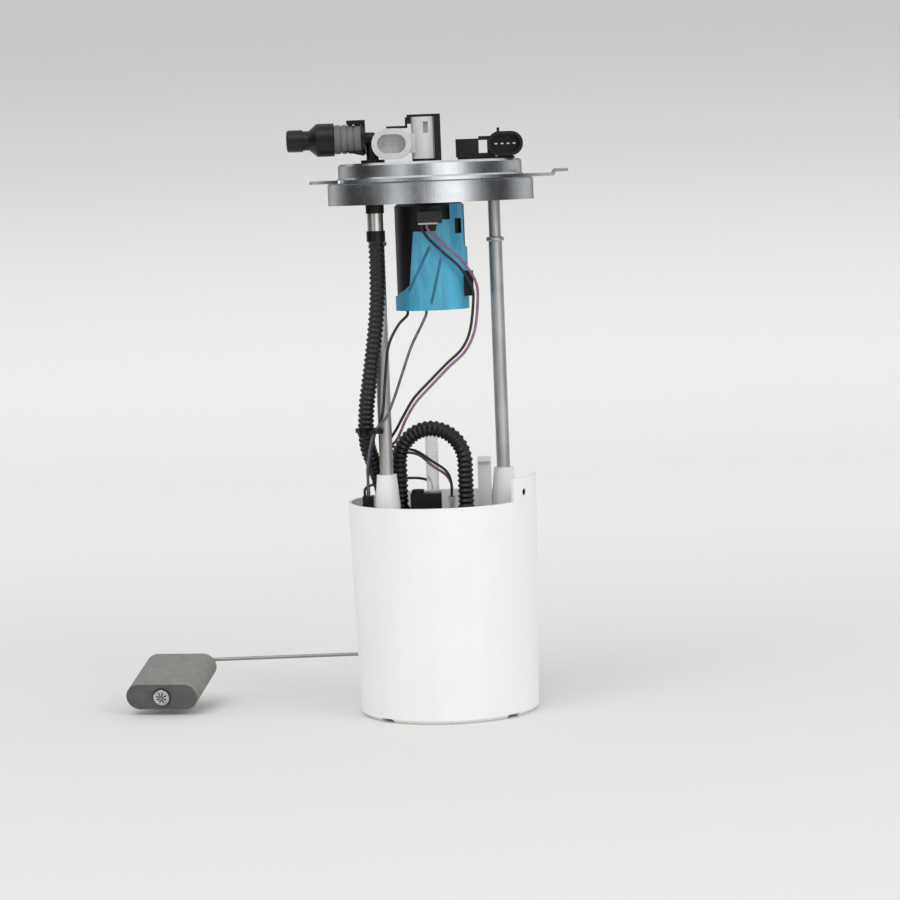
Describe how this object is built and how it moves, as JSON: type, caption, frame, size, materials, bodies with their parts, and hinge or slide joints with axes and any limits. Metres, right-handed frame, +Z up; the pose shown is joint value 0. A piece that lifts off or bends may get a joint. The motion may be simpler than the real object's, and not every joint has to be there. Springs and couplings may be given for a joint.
{
  "type": "in-tank fuel pump module",
  "caption": "In-tank fuel pump hanger: zinc plated flange with ports and sensor, two guide rods, vent valve, hoses, white reservoir with pump and filter, and a level float on a wire arm.",
  "frame": {"origin": "centre of the reservoir's foot, on the plane that it stands on", "axes": "+Z up from the reservoir to the flange, -X towards the supply port and the float, -Y towards the sensor and header sockets"},
  "size_m": [0.2989, 0.154, 0.3822],
  "materials": {
    "white_plastic": "satin, off-white, slightly translucent",
    "black_plastic": "satin black moulded plastic",
    "hose_plastic": "semi-gloss black corrugated tube",
    "blue_plastic": "satin blue moulded plastic",
    "light_grey_plastic": "satin light grey",
    "clear_plastic": "translucent tube",
    "grey_rubber": "matt grey rubber",
    "foam": "closed-cell nitrile foam, fine grain",
    "zinc_steel": "bright zinc plated pressed steel",
    "steel": "bright steel",
    "copper": "copper",
    "tin": "tinned",
    "black_wire": "black insulation",
    "mauve_wire": "mauve insulation",
    "grey_wire": "grey-blue insulation"
  },
  "bodies": {
    "reservoir_unit": {"reservoir": "white_plastic", "rim_lug": "white_plastic", "guide_bushes": "white_plastic", "guide_springs": "steel", "inlet_valve": "black_plastic", "jet_pump": "black_plastic", "inlet_strainer": "light_grey_plastic", "pump_inlet_cap": "black_plastic", "pump_can": "steel", "pump_outlet_cap": "black_plastic", "pump_magnets": "steel", "pump_brushes": "copper", "pump_terminals": "tin", "filter_canister": "black_plastic", "filter_element": "white_plastic", "filter_lid": "black_plastic", "pump_carrier": "black_plastic", "regulator_block": "black_plastic", "overflow_tube": "clear_plastic", "latch_tower": "light_grey_plastic", "u_hose": "hose_plastic", "lower_hose_clamps": "black_plastic", "sender_plug": "black_plastic", "sender_leads": "black_wire", "sender_housing": "black_plastic", "resistor_card": "white_plastic", "supply_hose": "hose_plastic", "feed_wire": "black_wire", "return_wire": "mauve_wire", "signal_wire": "black_wire", "ground_wire": "grey_wire"},
    "flange_unit": {"flange_plate": "zinc_steel", "flange_skirt": "zinc_steel", "guide_rods": "zinc_steel", "rod_feet": "black_plastic", "supply_ferrule": "tin", "upper_hose_clamps": "black_plastic", "supply_elbow": "black_plastic", "supply_spigot": "black_plastic", "supply_sleeve": "grey_rubber", "sleeve_latch": "black_plastic", "pressure_sensor": "light_grey_plastic", "sensor_seal": "black_plastic", "sensor_clip": "black_plastic", "sensor_blades": "tin", "header_body": "black_plastic", "header_blades": "tin", "vent_port": "black_plastic", "valve_housing": "black_plastic", "valve_skirt": "blue_plastic", "harness_plug": "grey_rubber", "wire_clip": "black_plastic"},
    "vent_float": {"valve_float": "white_plastic"},
    "pump_rotor": {"armature": "steel", "motor_shaft": "steel", "impeller": "black_plastic"},
    "check_valve": {"check_poppet": "black_plastic"},
    "float_arm": {"arm_wire": "steel"},
    "float": {"float_block": "foam"},
    "harness_tie": {"cable_tie": "black_plastic"}
  },
  "joints": [
    {"name": "flange_slide", "type": "slide", "parent": "reservoir_unit", "child": "flange_unit", "axis": [0, 0, -1], "range_m": [0, 0.06], "stiffness_N_per_m": 600, "springref_m": -0.05, "deforming": ["guide_springs", "supply_hose", "feed_wire", "return_wire", "signal_wire", "ground_wire"]},
    {"name": "tie_slide", "type": "slide", "parent": "reservoir_unit", "child": "harness_tie", "axis": [0, 0, -1], "range_m": [0, 0.0151]},
    {"name": "float_swing", "type": "hinge", "parent": "reservoir_unit", "child": "float_arm", "pos_m": [-0.005, 0.06718, 0.085], "axis": [0, 1, 0], "range_deg": [0, 72]},
    {"name": "float_spin", "type": "hinge", "parent": "float_arm", "child": "float", "pos_m": [-0.1784, 0.06198, 0.025], "axis": [-0.1851, -0.9525, -0.2419], "continuous": true},
    {"name": "rotor_spin", "type": "hinge", "parent": "reservoir_unit", "child": "pump_rotor", "pos_m": [0.012, -0.008, 0.02], "axis": [0, 0, 1], "continuous": true},
    {"name": "check_lift", "type": "slide", "parent": "reservoir_unit", "child": "check_valve", "axis": [0, 0, 1], "range_m": [0, 0.002]},
    {"name": "vent_lift", "type": "slide", "parent": "flange_unit", "child": "vent_float", "axis": [0, 0, 1], "range_m": [0, 0.006]}
  ],
  "couplings": [
    {"joint": "tie_slide", "follows": "flange_slide", "ratio": 0.25}
  ]
}
